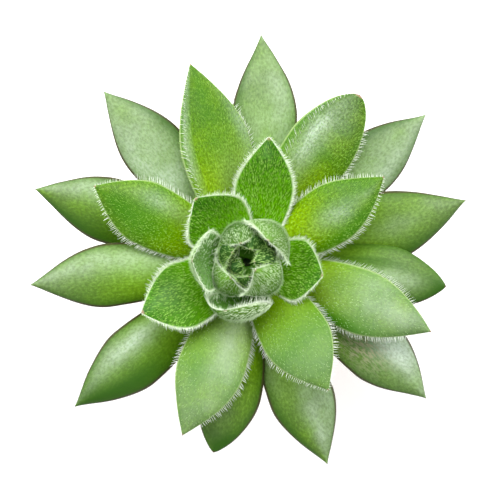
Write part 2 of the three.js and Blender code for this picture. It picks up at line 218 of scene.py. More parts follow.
def leafShape(row, age):  # one leaf's sizes with its root, chord and directions
    leaf = {**leafDefaults, **tiers[row["tier"]], **row}
    rootZ = plant["stemTop"] - plant["pitch"] * age
    rootReach = max(1, stemRadiusAt(rootZ) - plant["rootSink"])
    turn = math.radians(leaf["turn"])
    out = Vector((math.cos(turn), math.sin(turn), 0))
    rise = math.radians(plant["oldestRise"] + plant["extraRise"] * math.exp(-age / plant["riseFade"]))
    tipZ = leaf.get("tip", rootZ + (leaf["reach"] - rootReach) * math.tan(rise))
    foot = Vector((plant["axis"][0], plant["axis"][1], 0))
    leaf["root"] = foot + out * rootReach + Vector((0, 0, rootZ))
    leaf["chord"] = foot + out * leaf["reach"] + Vector((0, 0, tipZ)) - leaf["root"]
    leaf["side"] = Vector((-out.y, out.x, 0))
    leaf["up"] = leaf["chord"].normalized().cross(leaf["side"])
    return leaf


def ribPoint(leaf, s):  # the midrib, s from 0 at the root to 1 at the tip
    hump = 4 * s * (1 - s)
    spot = leaf["root"] + leaf["chord"] * s
    spot = spot + leaf["up"] * (leaf["hook"] * s ** 5 - leaf["belly"] * hump)
    return spot + leaf["side"] * (leaf["bow"] * hump + leaf["lean"] * s ** 2)


def ribFrame(leaf, s):  # place, along, side and upper direction of the midrib
    step = 0.001
    along = (ribPoint(leaf, min(1, s + step)) - ribPoint(leaf, max(0, s - step))).normalized()
    side = (leaf["side"] - along * along.dot(leaf["side"])).normalized()
    side.rotate(Matrix.Rotation(math.radians(leaf["roll"]), 3, along))
    return ribPoint(leaf, s), along, side, along.cross(side)


def halfWidth(leaf, s):
    full = leaf["width"] / 2
    if s < leaf["broad"]:
        swelling = math.sin(math.pi / 2 * s / leaf["broad"]) ** leaf["swell"]
        return full * (leaf["base"] + (1 - leaf["base"]) * swelling)
    past = (s - leaf["broad"]) / (1 - leaf["broad"])
    return full * max(0, 1 - past ** section["taper"]) ** leaf["point"]


def thicknessAt(leaf, s):
    root = section["rootThick"]
    if s < 0.5:
        return leaf["thick"] * (root + (1 - root) * math.sin(math.pi * s))
    return leaf["thick"] * max(0, 1 - ((s - 0.5) * 2) ** section["thinLate"]) ** section["thinRound"]


def skinPoint(leaf, s, around, rib):  # around: 0 is the left margin, a quarter turn the top
    spot, side, upper = rib[0], rib[2], rib[3]
    wide = halfWidth(leaf, s)
    lift = math.sin(around)
    height = 0.5 * thicknessAt(leaf, s) * math.copysign(abs(lift) ** section["flatness"], lift)
    cupped = leaf["cup"] * wide * math.cos(around) ** 2
    return spot + side * (wide * math.cos(around)) + upper * (height + cupped)


def skinNormal(leaf, s, around, rib):
    step = 0.02
    across = skinPoint(leaf, s, around + step, rib) - skinPoint(leaf, s, around - step, rib)
    return across.cross(rib[1]).normalized()


allLeaves = [leafShape(row, age) for age, row in enumerate(leafList)]
heartLeaves = [leafShape({**row, **heartShade}, plant["heartAge"] - i) for i, row in enumerate(heartList)]

# Materials


def newMaterial(name):
    material = bpy.data.materials.new(name)
    material.use_nodes = True
    tree = material.node_tree
    return material, tree, tree.nodes["Principled BSDF"]


def feed(tree, node, inputs):  # links a socket, and sets any other value on the input itself
    for key, value in inputs.items():
        if isinstance(value, bpy.types.NodeSocket):
            tree.links.new(value, node.inputs[key])
        else:
            node.inputs[key].default_value = value


def addNode(tree, kind, inputs=None, **settings):
    node = tree.nodes.new(kind)
    for key, value in settings.items():
        setattr(node, key, value)
    feed(tree, node, inputs or {})
    return node


def placeOn(tree):
    return addNode(tree, "ShaderNodeTexCoord").outputs["Object"]


def heightOn(tree, place):
    return addNode(tree, "ShaderNodeSeparateXYZ", {0: place}).outputs[2]


def pointValue(tree, name):
    return addNode(tree, "ShaderNodeAttribute", attribute_name=name).outputs["Fac"]


def mixColour(tree, share, first, second, blend="MIX"):
    inputs = {0: share, 6: first, 7: second}
    return addNode(tree, "ShaderNodeMix", inputs, data_type="RGBA", blend_type=blend).outputs[2]


def maths(tree, operation, first, second=0.0, clamp=False):
    node = addNode(tree, "ShaderNodeMath", {0: first, 1: second}, operation=operation, use_clamp=clamp)
    return node.outputs[0]


def remap(tree, value, low, high, newLow=0.0, newHigh=1.0):
    inputs = {"Value": value, "From Min": low, "From Max": high, "To Min": newLow, "To Max": newHigh}
    node = addNode(tree, "ShaderNodeMapRange", inputs, clamp=True, interpolation_type="SMOOTHSTEP")
    return node.outputs[0]


def ramp(tree, value, stops):
    node = addNode(tree, "ShaderNodeValToRGB", {"Fac": value})
    elements = node.color_ramp.elements
    while len(elements) < len(stops):
        elements.new(0.5)
    for element, (place, colour) in zip(elements, stops):
        element.position = place
        element.color = colour
    return node.outputs[0]


def tint(red, green, blue):  # a colour as picked on screen, made linear
    linear = [((c / 255 + 0.055) / 1.055) ** 2.4 if c > 10 else c / 255 / 12.92 for c in (red, green, blue)]
    return (*linear, 1.0)


def noiseOn(tree, coords, scale, detail=3.0, roughness=0.55):
    inputs = {"Vector": coords, "Scale": scale, "Detail": detail, "Roughness": roughness}
    return addNode(tree, "ShaderNodeTexNoise", inputs).outputs["Fac"]


def stretched(tree, coords, scale):
    return addNode(tree, "ShaderNodeMapping", {"Vector": coords, "Scale": scale}).outputs[0]


def relief(tree, height, strength, depth):  # depth in millimetres
    inputs = {"Height": height, "Strength": strength, "Distance": depth * mm}
    return addNode(tree, "ShaderNodeBump", inputs).outputs[0]


# stops are the places of the root, body and tip colours. The deep green is painted shade, edge how strong
# the painted shade towards the margins is, spark the flecks, below the underside. cells is how close the
# flecks stand along and across, and fan spreads them from the root.
leafFinish = {
    "bud": {
        "stops": (0.2, 0.5, 0.9),
        "root": tint(72, 122, 26), "body": tint(82, 136, 32), "tip": tint(90, 138, 46),
        "deep": tint(34, 76, 20), "spark": tint(150, 180, 120), "below": tint(96, 136, 42),
        "rim": tint(180, 196, 160), "rimWidth": 0.08, "end": tint(152, 148, 118), "endFrom": 0.975,
        "cells": (1.2, 2.4), "fan": True, "grain": 0.3,
        "edge": 0.0, "rough": 0.6, "specular": 0.25, "coat": 0.0,
    },
    "inner": {
        "stops": (0.35, 0.65, 0.92),
        "root": tint(86, 146, 0), "body": tint(66, 119, 0), "tip": tint(50, 104, 4),
        "deep": tint(34, 92, 0), "spark": tint(140, 196, 50), "below": tint(110, 156, 60),
        "rim": tint(180, 198, 154), "rimWidth": 0.06, "end": tint(152, 132, 108), "endFrom": 0.97,
        "cells": (0.9, 3.2), "fan": True, "grain": 0.42,
        "edge": 0.0, "rough": 0.55, "specular": 0.16, "coat": 0.0,
    },
    "middle": {
        "stops": (0.38, 0.62, 0.9),
        "root": tint(114, 150, 0), "body": tint(76, 120, 0), "tip": tint(68, 104, 12),
        "deep": tint(54, 112, 0), "spark": tint(176, 204, 120), "below": tint(122, 160, 74),
        "rim": tint(150, 174, 112), "rimWidth": 0.05, "end": tint(150, 124, 100), "endFrom": 0.985,
        "cells": (1.4, 1.9), "fan": False, "grain": 0.34,
        "edge": 0.25, "rough": 0.5, "specular": 0.22, "coat": 0.0,
    },
    "outer": {
        "stops": (0.46, 0.68, 0.92),
        "root": tint(104, 146, 14), "body": tint(84, 118, 32), "tip": tint(82, 110, 44),
        "deep": tint(44, 84, 8), "spark": tint(140, 174, 100), "below": tint(112, 148, 70),
        "rim": tint(66, 60, 36), "rimWidth": 0.1, "end": tint(92, 72, 50), "endFrom": 0.988,
        "cells": (1.2, 1.7), "fan": False, "grain": 0.24,
        "edge": 0.7, "rough": 0.52, "specular": 0.22, "coat": 0.03,
    },
}

# What all leaves share. The first two values of a range are where a pattern starts and is full, the next two
# what it becomes there.
skin = {
    "cloudScale": 160, "clouds": (0.38, 0.7, 0.0, 0.4),  # soft clouds of the root's colour
    "shades": (0.3, 0.7), "sparks": (0.58, 0.74),  # dark and bright flecks
    "leastShade": 0.65,  # of the dark flecks, where there is little down
    # pale colour of the waxy bloom with painted sheen, and whiter painted glare where the patches are
    # strongest
    "milkySheen": tint(162, 180, 152), "glareWhite": tint(206, 222, 204), "glareFrom": (0.8, 1.5),
    "sheenStrength": 0.8, "patchScale": 110, "patches": (0.3, 0.62, 0.55, 1.0),
    "gaps": (0.34, 0.6), "gapDepth": 1.4,  # the bloom and painted sheen are thinner between the flecks
    "dry": tint(178, 174, 140), "dryStreaks": (0.6, 2.4, 1.0), "dryPatches": (0.44, 0.58),
    "turnOver": (0.3, 0.5, 0.75, 0.0),  # from the underside to the top
    # edgeShadeFrom is where the painted shade towards the margins starts
    "edgeShadeFrom": 0.6, "rimCore": 0.35, "rimStrength": 0.9,
    "smoother": 0.06, "rougher": 0.1, "roughClouds": (0.3, 0.7),
    "rootShine": 0.1, "shineAfter": 0.1, "coatRough": 0.35,
    "through": 0.12, "throughColour": (0.5, 1.0, 0.2), "throughDepth": 1.5,
    "relief": 0.2, "reliefDepth": 0.15,
}


def leafColour(tree, look, along, across, cloud, cells, cellMap):
    # mood holds the painted sheen, the painted shade, underside to top, and the rim's strength
    mood = addNode(tree, "ShaderNodeAttribute", attribute_name="mood")
    splitMood = addNode(tree, "ShaderNodeSeparateColor", {0: mood.outputs["Color"]})
    bloomAndSheen, paintedShade, upper = splitMood.outputs[0], splitMood.outputs[1], splitMood.outputs[2]
    nap = pointValue(tree, "nap")

    low, mid, high = look["stops"]
    colour = ramp(tree, along, [(low, look["root"]), (mid, look["body"]), (high, look["tip"])])
    colour = mixColour(tree, remap(tree, cloud, *skin["clouds"]), colour, look["root"])
    shade = remap(tree, cells, *skin["shades"], 1 - look["grain"], 1 + look["grain"])
    shadeShare = maths(tree, "MAXIMUM", nap, skin["leastShade"], clamp=True)
    colour = mixColour(tree, shadeShare, colour, shade, "MULTIPLY")
    sparks = remap(tree, cells, *skin["sparks"], 0.0, look["grain"])
    colour = mixColour(tree, maths(tree, "MULTIPLY", sparks, nap), colour, look["spark"])

    # painted sheen and glare, partly the waxy bloom, worn in patches and thinner between the flecks
    patchy = remap(tree, noiseOn(tree, placeOn(tree), skin["patchScale"], 4, 0.65), *skin["patches"])
    gaps = remap(tree, cells, *skin["gaps"], look["grain"] * skin["gapDepth"], 0.0)
    solid = maths(tree, "SUBTRACT", 1.0, maths(tree, "MULTIPLY", gaps, nap))
    sheenShare = maths(tree, "MULTIPLY", maths(tree, "MULTIPLY", bloomAndSheen, patchy), solid)
    pale = mixColour(tree, remap(tree, bloomAndSheen, *skin["glareFrom"]), skin["milkySheen"], skin["glareWhite"])
    colour = mixColour(tree, maths(tree, "MULTIPLY", sheenShare, skin["sheenStrength"]), colour, pale)
    streaks = noiseOn(tree, stretched(tree, cellMap, skin["dryStreaks"]), 1.0, 4)
    dry = remap(tree, streaks, *skin["dryPatches"])
    colour = mixColour(tree, maths(tree, "MULTIPLY", pointValue(tree, "scar"), dry), colour, skin["dry"])

    colour = mixColour(tree, remap(tree, upper, *skin["turnOver"]), colour, look["below"])
    # painted shade: the shade patches darken the colour towards the deep shade green
    colour = mixColour(tree, paintedShade, colour, look["deep"])
    # painted shade towards the margins, weaker where the sheen is
    edge = maths(tree, "MULTIPLY", maths(tree, "ABSOLUTE", maths(tree, "SUBTRACT", across, 0.5)), 2.0)
    bare = maths(tree, "SUBTRACT", 1.0, bloomAndSheen, clamp=True)
    shaded = maths(tree, "MULTIPLY", remap(tree, edge, skin["edgeShadeFrom"], 1.0, 0.0, look["edge"]), bare)
    colour = mixColour(tree, shaded, colour, look["deep"])
    rim = remap(tree, edge, 1 - look["rimWidth"], 1 - look["rimWidth"] * skin["rimCore"])
    rim = maths(tree, "MULTIPLY", rim, mood.outputs["Alpha"])
    colour = mixColour(tree, maths(tree, "MULTIPLY", rim, skin["rimStrength"]), colour, look["rim"])
    ending = remap(tree, along, look["endFrom"], 0.5 + 0.5 * look["endFrom"])
    return mixColour(tree, ending, colour, look["end"])


def leafMaterial(tier):
    look = leafFinish[tier]
    material, tree, shader = newMaterial(tier + "_leaf_skin")
    span = addNode(tree, "ShaderNodeUVMap", uv_map="span")
    splitSpan = addNode(tree, "ShaderNodeSeparateXYZ", {0: span.outputs[0]})
    along, across = splitSpan.outputs[0], splitSpan.outputs[1]
    cloud = noiseOn(tree, placeOn(tree), skin["cloudScale"], 3)
    cellMap = addNode(tree, "ShaderNodeUVMap", uv_map="cells").outputs[0]
    cells = noiseOn(tree, stretched(tree, cellMap, (*look["cells"], 1.0)), 1.0, 2, 0.6)
    low, mid = look["stops"][:2]
    dull, shiny = look["specular"] * skin["rootShine"], look["specular"]
    smooth, rough = look["rough"] - skin["smoother"], look["rough"] + skin["rougher"]
    feed(tree, shader, {
        "Base Color": leafColour(tree, look, along, across, cloud, cells, cellMap),
        "Roughness": remap(tree, cloud, *skin["roughClouds"], smooth, rough),
        "Specular IOR Level": remap(tree, along, low, mid + skin["shineAfter"], dull, shiny),
        "Coat Weight": look["coat"],
        "Coat Roughness": skin["coatRough"],
        "Subsurface Weight": skin["through"],
        "Subsurface Radius": skin["throughColour"],
        "Subsurface Scale": skin["throughDepth"] * mm,
        "Normal": relief(tree, cells, skin["relief"] + look["grain"], skin["reliefDepth"]),
    })
    return material


hairLook = {
    "white": tint(234, 240, 228), "green": tint(154, 206, 58),
    # glow is painted light: the hairs glow a little so that those in shade stay pale
    "rough": 0.5, "specular": 0.3, "glow": 0.07,
}


def hairMaterial():
    material, tree, shader = newMaterial("pale_hair")
    colour = mixColour(tree, pointValue(tree, "tone"), hairLook["white"], hairLook["green"])
    feed(tree, shader, {
        "Base Color": colour,
        "Roughness": hairLook["rough"],
        "Specular IOR Level": hairLook["specular"],
        # painted light: a faint glow in the hair's own colour
        "Emission Color": colour,
        "Emission Strength": hairLook["glow"],
    })
    return material


leafSkins = {tier: leafMaterial(tier) for tier in tiers}
hairSkin = hairMaterial()
print("materials ready")

# Leaves

blade = {
    "around": 36, "rows": 60, "heartAround": 28, "heartRows": 40,  # how finely a leaf is divided
    "crowd": 0.35,  # how much closer the rows stand towards the tip
    "ripple": 0.16, "rippleSize": 7.0, "rippleWidth": 3,  # under this half width the ripples fade
    "fanFrom": 8.0, "fanReach": 18.0,  # the flecks spread from this far before the root
    # where the all-over pale bloom and painted sheen start along a leaf, how fast they grow, and the most a
    # spot takes
    "sheenFrom": 0.3, "sheenRise": 3, "mostSheen": 1.6,
}


def patchSum(patches, s, across):  # how strongly a list of soft patches acts on one spot
    total = 0
    for middle, centre, reach, spread, strength in patches:
        total += strength * math.exp(-((s - middle) / reach) ** 2 - ((across - centre) / spread) ** 2)
    return total


# painted sheen and light (with the pale bloom) and painted shade at one spot of a leaf
def moodAt(leaf, s, across):
    milkySheen = leaf["milkySheen"] * min(1, max(0, (s - blade["sheenFrom"]) * blade["sheenRise"]))
    bloomAndSheen = milkySheen + patchSum(leaf["bloomAndSheen"], s, across)
    paintedShade = patchSum(leaf["paintedShade"], s, across)
    return min(blade["mostSheen"], bloomAndSheen), min(1, paintedShade)


def warpLeaf(bm, leaf, rows, verts):  # draws a sphere out along the leaf's midrib
    span, cells = bm.loops.layers.uv["span"], bm.loops.layers.uv["cells"]
    mood = bm.verts.layers.float_color["mood"]
    scar, nap = bm.verts.layers.float["scar"], bm.verts.layers.float["nap"]
    places = {}
    ribs = {}
    length = leaf["chord"].length
    for vert in verts:
        x, y, z = vert.co
        row = round(math.acos(max(-1, min(1, z))) / math.pi * rows)
        q = max(0, row - 1) / (rows - 1)
        s = q * (1 + blade["crowd"] - blade["crowd"] * q)
        if row not in ribs:
            ribs[row] = ribFrame(leaf, s)
        around = math.atan2(-y, x) if 0 < row < rows else math.pi / 2
        if row in (0, rows):
            spot = ribs[row][0].copy()
        else:
            spot = skinPoint(leaf, s, around, ribs[row])
            wave = noise.noise(spot / blade["rippleSize"]) * blade["ripple"]
            calm = min(1, halfWidth(leaf, s) / blade["rippleWidth"])
            spot += skinNormal(leaf, s, around, ribs[row]) * wave * calm
        vert.co = spot * mm
        across = math.cos(around)
        bloomAndSheen, paintedShade = moodAt(leaf, s, across)
        # mood holds the painted sheen, the painted shade, underside to top, and the rim's strength
        vert[mood] = (bloomAndSheen, paintedShade, 0.5 + 0.5 * math.sin(around), leaf["leftRim"] if across > 0 else 1)
        vert[nap] = leaf["nap"]
        if leaf["scar"]:
            vert[scar] = patchSum([(*leaf["scar"], 1.0)], s, across)
        sideways = across * halfWidth(leaf, s)
        if leafFinish[leaf["tier"]]["fan"]:
            sideways *= blade["fanReach"] / (s * length + blade["fanFrom"])
        places[vert] = ((s, 0.5 + 0.5 * across), (s * length, sideways))
    for face in {face for vert in verts for face in vert.link_faces}:
        face.smooth = True
        for loop in face.loops:
            loop[span].uv, loop[cells].uv = places[loop.vert]


def leafMesh(leaves, sides, rows):
    bm = bmesh.new()
    for name in ("span", "cells"):
        bm.loops.layers.uv.new(name)
    bm.verts.layers.float_color.new("mood")
    for name in ("scar", "nap"):
        bm.verts.layers.float.new(name)
    for leaf in leaves:
        made = bmesh.ops.create_uvsphere(bm, u_segments=sides, v_segments=rows, radius=1)
        warpLeaf(bm, leaf, rows, made["verts"])
    return bm


def addObject(name, bm, material=None):
    mesh = bpy.data.meshes.new(name)
    bm.to_mesh(mesh)
    bm.free()
    if material:
        mesh.materials.append(material)
    made = bpy.data.objects.new(name, mesh)
    bpy.context.scene.collection.objects.link(made)
    return made


def finishPiece(name, bm, material, slot, *nodes):
    bmesh.ops.recalc_face_normals(bm, faces=bm.faces)
    piece = addObject(name, bm, material)
    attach(piece, "root")
    if nodes:
        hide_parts(*nodes)


def makeLeaves():
    for number, leaf in enumerate(allLeaves, 1):
        bm = leafMesh([leaf], blade["around"], blade["rows"])
        node = f"leaf_{number:02d}"
        finishPiece(node + "_blade", bm, leafSkins[leaf["tier"]], leaf["tier"] + "_leaf", node)
    bm = leafMesh(heartLeaves, blade["heartAround"], blade["heartRows"])
    finishPiece("heart_leaves", bm, leafSkins["bud"], "bud_leaf", "heart")


makeLeaves()
print("leaves made")

# Pot, soil and stem


def spinProfile(bm, outline, steps, closed, axis=(0, 0, 0)):  # turns a list of (radius, height) about Z
    verts = [bm.verts.new((radius, 0, z)) for radius, z in outline]
    edges = [bm.edges.new(pair) for pair in zip(verts, verts[1:])]
    if closed:
        edges.append(bm.edges.new((verts[-1], verts[0])))
    bmesh.ops.spin(
        bm, geom=verts + edges, cent=(0, 0, 0), axis=(0, 0, 1), angle=2 * math.pi, steps=steps,
        use_merge=True, use_duplicate=False,
    )
    bmesh.ops.remove_doubles(bm, verts=bm.verts, dist=0.001)
    bmesh.ops.translate(bm, vec=axis, verts=bm.verts)


def toMetres(bm):
    bmesh.ops.scale(bm, vec=(mm, mm, mm), verts=bm.verts)
    for face in bm.faces:
        face.smooth = True


pot = {
    "height": 46, "baseRadius": 19.5, "rimRadius": 28.5, "rimHeight": 10, "rimStep": 2.2, "rimSlope": 0.6,
    "wall": 3.6, "insideSlope": 1, "floor": 4, "drain": 4, "steps": 96,
    "sharp": 0.3, "round": 0.9, "roundSteps": 3,  # edges that bend by more than sharp radians are rounded
}
clay = {
    "cloudScale": 70,
    "clouds": [(0.3, tint(168, 92, 62)), (0.55, tint(186, 108, 76)), (0.75, tint(202, 132, 100))],
    "chalk": tint(222, 204, 186), "chalkFrom": 34 * mm, "chalkScale": 240, "chalkPatches": (0.5, 0.7),
    "chalkStrength": 0.45,
    "gritScale": 2600, "grit": (0.62, 0.74, 0, 0.5), "gritColour": tint(128, 70, 48),
    "rough": 0.88, "specular": 0.25,
    "grooveScale": 210.0, "grooveBend": 1.2, "grooves": 0.3, "relief": 0.5, "reliefDepth": 0.25,
}


def clayMaterial():
    material, tree, shader = newMaterial("fired_clay")
    place = placeOn(tree)
    colour = ramp(tree, noiseOn(tree, place, clay["cloudScale"], 4), clay["clouds"])
    high = remap(tree, heightOn(tree, place), clay["chalkFrom"], pot["height"] * mm)
    patches = remap(tree, noiseOn(tree, place, clay["chalkScale"]), *clay["chalkPatches"])
    chalk = maths(tree, "MULTIPLY", high, patches)
    colour = mixColour(tree, maths(tree, "MULTIPLY", chalk, clay["chalkStrength"]), colour, clay["chalk"])
    grains = noiseOn(tree, place, clay["gritScale"], 2)
    colour = mixColour(tree, remap(tree, grains, *clay["grit"]), colour, clay["gritColour"])
    turning = addNode(
        tree, "ShaderNodeTexWave",
        {"Vector": place, "Scale": clay["grooveScale"], "Distortion": clay["grooveBend"], "Detail": 2.0},
        bands_direction="Z",
    )
    height = maths(tree, "ADD", maths(tree, "MULTIPLY", turning.outputs["Fac"], clay["grooves"]), grains)
    feed(tree, shader, {
        "Base Color": colour,
        "Roughness": clay["rough"],
        "Specular IOR Level": clay["specular"],
        "Normal": relief(tree, height, clay["relief"], clay["reliefDepth"]),
    })
    return material


def makePot():
    underRim = pot["height"] - pot["rimHeight"]
    inside = pot["rimRadius"] - pot["wall"]
    bm = bmesh.new()
    outline = [
        (pot["drain"], 0), (pot["baseRadius"], 0), (pot["rimRadius"] - pot["rimStep"], underRim),
        (pot["rimRadius"], underRim + pot["rimSlope"]), (pot["rimRadius"], pot["height"]),
        (inside, pot["height"]), (inside - pot["insideSlope"], underRim),
        (pot["baseRadius"] - pot["wall"], pot["floor"]), (pot["drain"], pot["floor"]),
    ]
    spinProfile(bm, outline, pot["steps"], True)
    shared = [edge for edge in bm.edges if len(edge.link_faces) == 2]
    sharp = [edge for edge in shared if edge.calc_face_angle() > pot["sharp"]]
    bmesh.ops.bevel(
        bm, geom=sharp, offset=pot["round"], offset_type="OFFSET", segments=pot["roundSteps"], profile=0.5,
        affect="EDGES", material=-1,
    )
    toMetres(bm)
    finishPiece("pot_turned", bm, clayMaterial(), "clay", "pot")


soil = {
    "top": 43, "clear": 0.3, "wallGap": 0.4, "insideSlope": 1, "rings": 34, "steps": 110,
    "lumps": 0.6, "wave": 0.5,  # how high the mounds are and how close they stand
    "crumbs": 0.45, "crumbWave": 0.6, "settled": 0.2,
    "scale": 900, "colours": [(0.3, tint(38, 28, 22)), (0.55, tint(74, 56, 42)), (0.72, tint(112, 90, 68))],
    "rough": 0.95, "specular": 0.15, "relief": 0.9, "reliefDepth": 0.6,
}


def soilMaterial():
    material, tree, shader = newMaterial("potting_soil")
    crumbs = noiseOn(tree, placeOn(tree), soil["scale"], 4, 0.7)
    feed(tree, shader, {
        "Base Color": ramp(tree, crumbs, soil["colours"]),
        "Roughness": soil["rough"],
        "Specular IOR Level": soil["specular"],
        "Normal": relief(tree, crumbs, soil["relief"], soil["reliefDepth"]),
    })
    return material


def soilHeight(x, y):
    lump = math.sin(soil["wave"] * x) * math.cos(soil["wave"] * y)
    lump += 0.5 * math.sin(2 * soil["wave"] * (y - x / 3))
    fine = noise.fractal(Vector((x, y, 0)) * soil["crumbWave"], 1.0, 2.0, 4) * soil["crumbs"]
    return soil["top"] + soil["lumps"] * lump + fine - soil["settled"]


def makeSoil():
    inside = pot["rimRadius"] - pot["wall"] - soil["clear"]
    bottom = pot["floor"] + soil["clear"]
    foot = pot["baseRadius"] - pot["wall"] - soil["clear"]
    widest, rings = inside - soil["wallGap"], soil["rings"]
    outline = [(0, bottom), (foot, bottom), (inside - soil["insideSlope"], pot["height"] - pot["rimHeight"])]
    outline += [(widest * (rings - i) / rings, soil["top"]) for i in range(rings + 1)]
    bm = bmesh.new()
    spinProfile(bm, outline, soil["steps"], False)
    for vert in bm.verts:
        if vert.co.z > soil["top"] - 0.01:
            vert.co.z = soilHeight(vert.co.x, vert.co.y)
    toMetres(bm)
    finishPiece("soil_fill", bm, soilMaterial(), "soil", "soil")


grit = {
    "seed": 3, "grains": 420, "grainSize": (0.25, 0.6), "pebbles": 60, "pebbleSize": (0.7, 1.3),
    "within": 2.1,  # how far they stay from the wall
    "nearest": 0.05,  # and from the middle, as a share of the area
    "wide": (0.7, 1.2), "tall": (0.5, 0.8), "chipped": (0.85, 1.15), "lift": 0.25, "rough": 0.85,
    "colours": [
        (0.0, tint(60, 45, 34)), (0.45, tint(96, 78, 60)),
        (0.7, tint(150, 138, 122)), (0.95, tint(214, 208, 196)),
    ],
}


def gritMaterial():
    material, tree, shader = newMaterial("mixed_grit")
    colour = ramp(tree, pointValue(tree, "grain"), grit["colours"])
    feed(tree, shader, {"Base Color": colour, "Roughness": grit["rough"]})
    return material


def makeGrit():
    rng = random.Random(grit["seed"])
    widest = pot["rimRadius"] - pot["wall"] - grit["within"]
    bm = bmesh.new()
    grainLayer = bm.verts.layers.float.new("grain")
    for i in range(grit["grains"] + grit["pebbles"]):
        size = rng.uniform(*grit["grainSize"] if i < grit["grains"] else grit["pebbleSize"])
        made = bmesh.ops.create_icosphere(bm, subdivisions=1, radius=size)
        reach = math.sqrt(rng.uniform(grit["nearest"], 1)) * widest
        turn = rng.uniform(0, 2 * math.pi)
        x, y = reach * math.cos(turn), reach * math.sin(turn)
        kind = rng.random()
        squash = Vector((rng.uniform(*grit["wide"]), rng.uniform(*grit["wide"]), rng.uniform(*grit["tall"])))
        seat = Vector((x, y, soilHeight(x, y) + size * grit["lift"]))
        for vert in made["verts"]:
            vert.co = vert.co * squash * rng.uniform(*grit["chipped"]) + seat
            vert[grainLayer] = kind
    toMetres(bm)
    for face in bm.faces:
        face.smooth = False
    finishPiece("soil_grit", bm, gritMaterial(), "soil")


stemShape = {
    "foot": 28, "footRadius": 3.4, "collarRadius": 4.2, "collarDepth": 1, "flare": (0.25, 0.5, 0.75),
    "rings": 14, "topInset": 1, "topRise": 1.4, "tipRise": 1.8, "steps": 48,
    "rough": 0.25, "roughScale": 0.8, "core": 0.5,  # inside the core nothing is moved
}
bark = {
    "old": tint(122, 98, 70), "young": tint(140, 166, 84), "youngFrom": (40 * mm, 56 * mm),
    # the stem's tip inside the bud: young green, darkened as painted shade of the hollow
    "budTipShade": tint(34, 68, 22), "budShadeFrom": (60 * mm, 65 * mm),
    "fibreScale": (1400.0, 1400.0, 260.0), "fibres": (0.45, 0.7, 0, 0.4), "fibreColour": tint(84, 66, 46),
    "rough": 0.8, "relief": 0.5, "reliefDepth": 0.3,
}


def stemMaterial():
    material, tree, shader = newMaterial("stem_bark")
    place = placeOn(tree)
    height = heightOn(tree, place)
    colour = mixColour(tree, remap(tree, height, *bark["youngFrom"]), bark["old"], bark["young"])
    # painted shade: the tip inside the bud is darkened
    colour = mixColour(tree, remap(tree, height, *bark["budShadeFrom"]), colour, bark["budTipShade"])
    fibres = noiseOn(tree, stretched(tree, place, bark["fibreScale"]), 1.0, 3)
    colour = mixColour(tree, remap(tree, fibres, *bark["fibres"]), colour, bark["fibreColour"])
    feed(tree, shader, {
        "Base Color": colour,
        "Roughness": bark["rough"],
        "Normal": relief(tree, fibres, bark["relief"], bark["reliefDepth"]),
    })
    return material


def makeStem():
    low, top = plant["stemLow"], plant["stemTop"]
    collar, collarTop = stemShape["collarRadius"], soil["top"] - stemShape["collarDepth"]
    widening, climb = plant["stemLowRadius"] - collar, low - collarTop
    outline = [(0, stemShape["foot"]), (stemShape["footRadius"], stemShape["foot"]), (collar, collarTop)]
    outline += [(collar + share * widening, collarTop + share * climb) for share in stemShape["flare"]]
    for i in range(stemShape["rings"] + 1):
        z = low + i * (top - low) / stemShape["rings"]
        outline.append((stemRadiusAt(z), z))
    outline.append((plant["stemTopRadius"] - stemShape["topInset"], top + stemShape["topRise"]))
    outline.append((0, top + stemShape["tipRise"]))
    bm = bmesh.new()
    spinProfile(bm, outline, stemShape["steps"], False, (*plant["axis"], 0))
    for vert in bm.verts:
        across = Vector((vert.co.x - plant["axis"][0], vert.co.y - plant["axis"][1], 0))
        if across.length > stemShape["core"]:
            bump = noise.noise(vert.co * stemShape["roughScale"]) - 0.5
            vert.co += across.normalized() * bump * stemShape["rough"]
    toMetres(bm)
    finishPiece("stem_trunk", bm, stemMaterial(), "stem", "stem")


makePot()
makeSoil()
makeGrit()
makeStem()
print("pot, soil and stem made")

# Hairs: each is a thin spike, set on a cloud of root points that hold its direction, size and tone

hair = {
    "seed": 7,
    "clear": 0.05,  # how far they stay inside the overall size
    "bend": 0.48,  # how far the end of a long hair leans over, in thicknesses
    "elbow": 0.36,  # its radius half way up
    "edgeLength": 1.1, "faceLength": 1.08,  # a leaf's length along its curve, over that of its chord
}

# Hairs on the margins: a comb of long ones and a felt of short ones. lean is their slant to the tip, inward
# that over the blade, and tone runs from white at 0 to green at 1.
comb = {
    "bud": {"spacing": 0.2, "length": 1.6, "thick": 0.11, "lean": 0.8, "inward": 0.7, "tone": 0.25},
    "inner": {"spacing": 0.36, "length": 1.8, "thick": 0.12, "lean": 0.7, "inward": 0.1, "tone": 0.0},
    "middle": {"spacing": 0.46, "length": 1.75, "thick": 0.115, "lean": 0.6, "inward": 0.1, "tone": 0.05},
}
felt = {
    "bud": {"spacing": 0.1, "length": 0.6, "thick": 0.11, "lean": 0.5, "inward": 0.4, "tone": 0.1},
    "inner": {"spacing": 0.09, "length": 1.1, "thick": 0.13, "lean": 0.6, "inward": 0.35, "tone": 0.1},
}
marginSpread = {
    "place": 0.35, "around": 0.08, "lean": 0.12, "inward": 0.2, "length": (0.7, 1.1),
    "from": 0.03, "to": 0.998,  # the part of the leaf's length that has them
    "tipLength": 0.4, "tipGrowth": 3,  # how short they are at the tip and how soon they are full size
}


